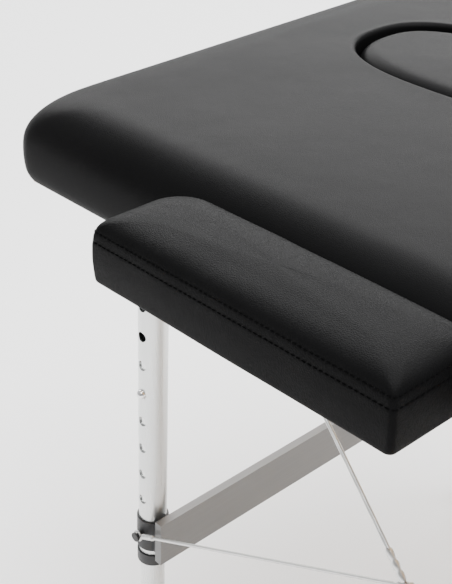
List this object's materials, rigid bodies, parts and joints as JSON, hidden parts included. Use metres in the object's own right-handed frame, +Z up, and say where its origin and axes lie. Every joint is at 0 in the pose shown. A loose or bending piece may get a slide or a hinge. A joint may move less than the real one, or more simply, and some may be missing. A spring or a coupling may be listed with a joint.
{
  "type": "portable massage table",
  "caption": "Folding padded massage table with telescopic legs, cable braces, a lift-out face plug and slide-out side armrests.",
  "frame": {"origin": "on the floor under the middle hinge, centred in length and width", "axes": "+X from the head end to the foot end, +Y from the near (handle) side to the far side, +Z up"},
  "size_m": [1.85, 0.828, 0.702],
  "materials": {
    "table_leather": "soft sheen imitation leather",
    "armrest_leather": "soft sheen imitation leather with topstitching",
    "black_board": "black painted board",
    "plywood": "varnished plywood",
    "beech": "varnished beech",
    "black_steel": "black powder coat",
    "zinc_steel": "zinc plated",
    "rubber": "matt rubber",
    "webbing": "padded webbing",
    "wire_rope": "bare wire rope",
    "satin_aluminium": "satin anodised",
    "grey_bar": "satin grey",
    "black_plastic": "moulded",
    "inner_aluminium": "satin anodised",
    "chrome": "polished"
  },
  "bodies": {
    "head_section": {"head_cushion": "table_leather", "head_skirt": "table_leather", "head_board": "plywood", "head_rail_near": "beech", "head_rail_far": "beech", "head_cross_rails": "beech", "head_leg_brackets": "zinc_steel", "head_pivot_bolts": "zinc_steel", "head_hinge_leaves": "zinc_steel", "hinge_pins": "zinc_steel", "rod_guides": "black_plastic", "head_bumpers": "rubber", "head_cable_anchors": "zinc_steel", "head_handle": "webbing", "head_cable_near": "wire_rope", "head_cable_far": "wire_rope"},
    "foot_section": {"foot_cushion": "table_leather", "foot_skirt": "table_leather", "foot_board": "plywood", "foot_rail_near": "beech", "foot_rail_far": "beech", "foot_cross_rails": "beech", "foot_leg_brackets": "zinc_steel", "foot_pivot_bolts": "zinc_steel", "foot_hinge_leaves": "zinc_steel", "foot_bumpers": "rubber", "foot_cable_anchors": "zinc_steel", "foot_handle": "webbing", "foot_cable_near": "wire_rope", "foot_cable_far": "wire_rope"},
    "head_frame": {"head_tube_near": "satin_aluminium", "head_tube_far": "satin_aluminium", "head_crossbar": "grey_bar", "head_clamps": "black_plastic", "head_collars": "black_plastic"},
    "foot_frame": {"foot_tube_near": "satin_aluminium", "foot_tube_far": "satin_aluminium", "foot_crossbar": "grey_bar", "foot_clamps": "black_plastic", "foot_collars": "black_plastic"},
    "face_plug": {"plug_cushion": "table_leather", "plug_board": "plywood"},
    "armrest_near": {"arm_near_pad": "armrest_leather", "arm_near_board": "black_board", "arm_near_bracket": "black_steel"},
    "armrest_far": {"arm_far_pad": "armrest_leather", "arm_far_board": "black_board", "arm_far_bracket": "black_steel"},
    "head_inner_near": {"head_leg_near": "inner_aluminium", "head_foot_near": "rubber"},
    "head_snap_near": {"head_button_near": "chrome"},
    "head_inner_far": {"head_leg_far": "inner_aluminium", "head_foot_far": "rubber"},
    "head_snap_far": {"head_button_far": "chrome"},
    "foot_inner_near": {"foot_leg_near": "inner_aluminium", "foot_foot_near": "rubber"},
    "foot_snap_near": {"foot_button_near": "chrome"},
    "foot_inner_far": {"foot_leg_far": "inner_aluminium", "foot_foot_far": "rubber"},
    "foot_snap_far": {"foot_button_far": "chrome"}
  },
  "joints": [
    {"name": "table_fold", "type": "hinge", "parent": "head_section", "child": "foot_section", "pos_m": [0, 0, 0.59], "axis": [0, 1, 0], "range_deg": [0, 180], "deforming": ["head_cable_near", "head_cable_far", "foot_cable_near", "foot_cable_far"]},
    {"name": "head_legs_fold", "type": "hinge", "parent": "head_section", "child": "head_frame", "pos_m": [-0.808, 0, 0.6115], "axis": [0, -1, 0], "range_deg": [0, 92.7]},
    {"name": "foot_legs_fold", "type": "hinge", "parent": "foot_section", "child": "foot_frame", "pos_m": [0.808, 0, 0.6115], "axis": [0, 1, 0], "range_deg": [0, 92.7]},
    {"name": "head_height_near", "type": "slide", "parent": "head_frame", "child": "head_inner_near", "axis": [-0.0471, 0, -0.9989], "range_m": [-0.09, 0.12], "deforming": ["head_button_near"]},
    {"name": "head_press_near", "type": "slide", "parent": "head_inner_near", "child": "head_snap_near", "axis": [0, 1, 0], "range_m": [0, 0.007], "stiffness_N_per_m": 1500},
    {"name": "head_height_far", "type": "slide", "parent": "head_frame", "child": "head_inner_far", "axis": [-0.0471, 0, -0.9989], "range_m": [-0.09, 0.12], "deforming": ["head_button_far"]},
    {"name": "head_press_far", "type": "slide", "parent": "head_inner_far", "child": "head_snap_far", "axis": [0, -1, 0], "range_m": [0, 0.007], "stiffness_N_per_m": 1500},
    {"name": "foot_height_near", "type": "slide", "parent": "foot_frame", "child": "foot_inner_near", "axis": [0.0471, 0, -0.9989], "range_m": [-0.09, 0.12], "deforming": ["foot_button_near"]},
    {"name": "foot_press_near", "type": "slide", "parent": "foot_inner_near", "child": "foot_snap_near", "axis": [0, 1, 0], "range_m": [0, 0.007], "stiffness_N_per_m": 1500},
    {"name": "foot_height_far", "type": "slide", "parent": "foot_frame", "child": "foot_inner_far", "axis": [0.0471, 0, -0.9989], "range_m": [-0.09, 0.12], "deforming": ["foot_button_far"]},
    {"name": "foot_press_far", "type": "slide", "parent": "foot_inner_far", "child": "foot_snap_far", "axis": [0, -1, 0], "range_m": [0, 0.007], "stiffness_N_per_m": 1500},
    {"name": "face_plug_lift", "type": "slide", "parent": "head_section", "child": "face_plug", "axis": [0, 0, 1], "range_m": [0, 0.12]},
    {"name": "armrest_near_slide", "type": "slide", "parent": "head_section", "child": "armrest_near", "axis": [0, -1, 0], "range_m": [0, 0.1]},
    {"name": "armrest_far_slide", "type": "slide", "parent": "head_section", "child": "armrest_far", "axis": [0, 1, 0], "range_m": [0, 0.1]}
  ],
  "couplings": [
    {"joint": "head_legs_fold", "follows": "table_fold", "ratio": 0.515},
    {"joint": "foot_legs_fold", "follows": "table_fold", "ratio": 0.515}
  ]
}
